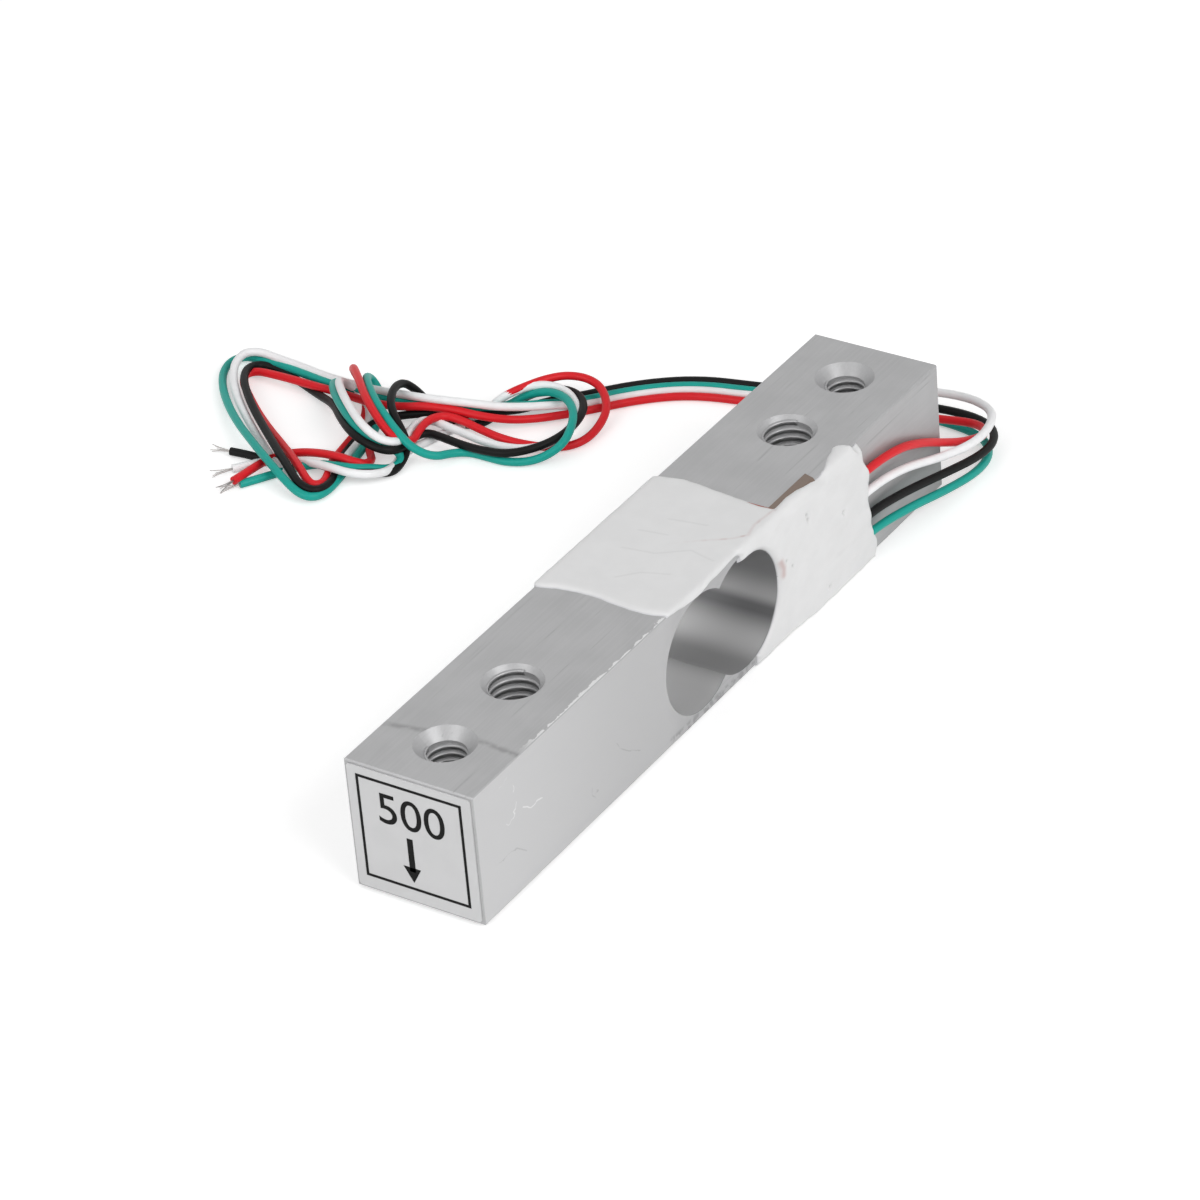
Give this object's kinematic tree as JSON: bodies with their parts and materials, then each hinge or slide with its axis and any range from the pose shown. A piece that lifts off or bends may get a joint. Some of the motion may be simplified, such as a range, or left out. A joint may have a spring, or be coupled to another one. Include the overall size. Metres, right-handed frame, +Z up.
{
  "type": "single point load cell",
  "caption": "Rectangular aluminium load cell bar with a twin bore, tapped mounting holes, coated strain gauges and thin colour-coded leads tied in a hank.",
  "frame": {"origin": "on the supporting surface, under the middle of the bar", "axes": "+Z up through the tapped holes, +Y along the bar towards the end the leads leave by, with the end label at -Y and the coated side with the leads at +X"},
  "size_m": [0.0759, 0.0859, 0.0133],
  "materials": {
    "milled_aluminium": "fine milled and brushed, with light scratches",
    "label_film": "satin printed film",
    "gauge_film": "polyimide film",
    "gauge_foil": "etched foil",
    "flex_film": "polyimide film",
    "copper": "bare copper",
    "solder": "bright solder",
    "enamelled_wire": "enamel over copper",
    "silicone_coat": "semi-gloss white silicone",
    "mixed_leads": "bundle of red, white, black and green leads",
    "red_insulation": "satin insulation",
    "white_insulation": "satin insulation",
    "black_insulation": "satin insulation",
    "green_insulation": "satin insulation",
    "tinned_copper": "fine tinned strands"
  },
  "bodies": {
    "root": {"beam": "milled_aluminium", "end_label": "label_film", "top_front_gauge_film": "gauge_film", "top_rear_gauge_film": "gauge_film", "bottom_front_gauge_film": "gauge_film", "bottom_rear_gauge_film": "gauge_film", "top_front_gauge_grid": "gauge_foil", "top_rear_gauge_grid": "gauge_foil", "bottom_front_gauge_grid": "gauge_foil", "bottom_rear_gauge_grid": "gauge_foil", "terminal_flex": "flex_film", "terminal_pads": "copper", "lead_cores": "copper", "solder_joints": "solder", "top_jumpers": "enamelled_wire", "bottom_jumpers": "enamelled_wire", "top_coat": "silicone_coat", "bottom_coat": "silicone_coat", "side_coat": "silicone_coat", "wire_hank": "mixed_leads", "red_lead": "red_insulation", "red_tail": "red_insulation", "red_bare_end": "tinned_copper", "white_lead": "white_insulation", "white_tail": "white_insulation", "white_bare_end": "tinned_copper", "black_lead": "black_insulation", "black_tail": "black_insulation", "black_bare_end": "tinned_copper", "green_lead": "green_insulation", "green_tail": "green_insulation", "green_bare_end": "tinned_copper"}
  },
  "joints": []
}
